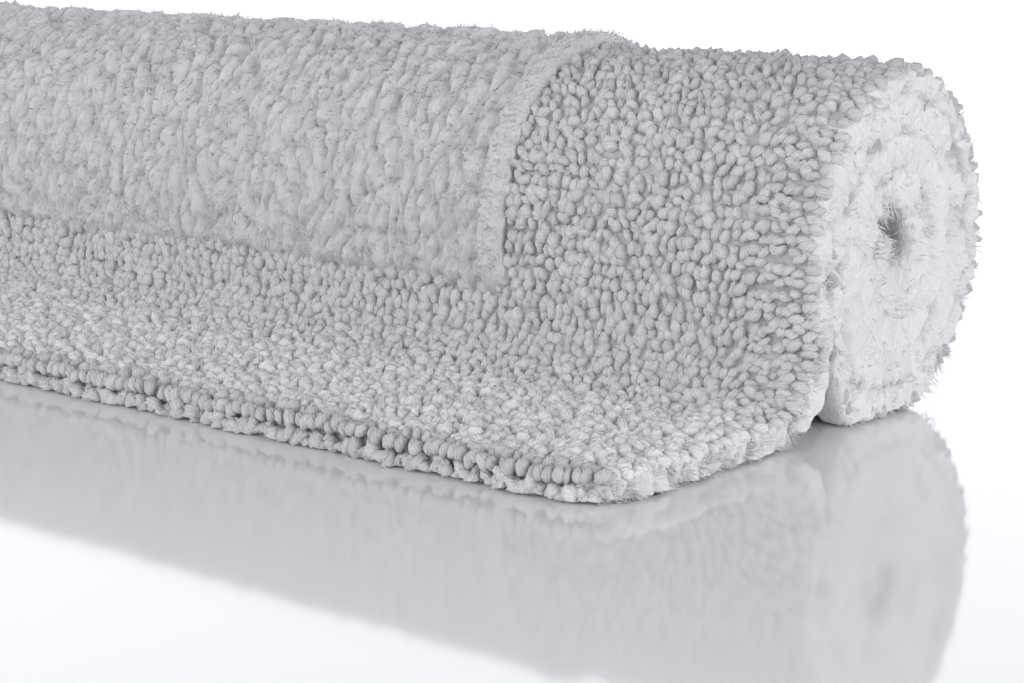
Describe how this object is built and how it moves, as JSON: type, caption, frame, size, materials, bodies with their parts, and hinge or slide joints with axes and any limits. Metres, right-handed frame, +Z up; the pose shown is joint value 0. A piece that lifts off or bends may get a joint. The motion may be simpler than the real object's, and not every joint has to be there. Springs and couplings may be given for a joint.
{
  "type": "rolled bath mat",
  "caption": "Thick white cotton bath mat, rolled face outwards with its free end lying in front; looped border round a raised cut-pile panel.",
  "frame": {"origin": "middle of the base of the whole mat's box, on the surface that it lies on", "axes": "+X along the roll towards its right-hand end, +Y from the free end towards the roll, +Z up"},
  "size_m": [0.6, 0.2154, 0.1203],
  "materials": {
    "loop_pile": "cotton yarn loops, matt with a faint sheen",
    "panel_pile": "long cut cotton pile, brushed and tufted, matt",
    "reverse_pile": "short cut cotton pile, fluffy at the edges, matt",
    "ground_cloth": "plain woven cotton",
    "hem": "turned cotton towelling",
    "hem_thread": "cotton sewing thread"
  },
  "bodies": {
    "roll": {"ground_cloth_bend": "ground_cloth", "reverse_pile_bend": "reverse_pile", "loop_border_front_bend": "loop_pile", "loop_border_right_bend": "loop_pile", "side_hem_right_bend": "hem", "hem_thread_right_bend": "hem_thread", "loop_border_left_bend": "loop_pile", "side_hem_left_bend": "hem", "hem_thread_left_bend": "hem_thread", "ground_cloth_rolled": "ground_cloth", "reverse_pile_rolled": "reverse_pile", "centre_panel_pile": "panel_pile", "loop_border_inner_end": "loop_pile", "hem_inner_end": "hem", "hem_thread_inner_end": "hem_thread", "loop_border_right_rolled": "loop_pile", "side_hem_right_rolled": "hem", "hem_thread_right_rolled": "hem_thread", "loop_border_left_rolled": "loop_pile", "side_hem_left_rolled": "hem", "hem_thread_left_rolled": "hem_thread"},
    "free_end": {"ground_cloth_free_end": "ground_cloth", "reverse_pile_free_end": "reverse_pile", "loop_border_front_free_end": "loop_pile", "hem_free_end": "hem", "hem_thread_free_end": "hem_thread", "loop_border_right_free_end": "loop_pile", "side_hem_right_free_end": "hem", "hem_thread_right_free_end": "hem_thread", "loop_border_left_free_end": "loop_pile", "side_hem_left_free_end": "hem", "hem_thread_left_free_end": "hem_thread"}
  },
  "joints": [
    {"name": "free_end_lift", "type": "hinge", "parent": "roll", "child": "free_end", "pos_m": [0, -0.0257, 0.0125], "axis": [-1, 0, 0], "range_deg": [0, 45]}
  ]
}
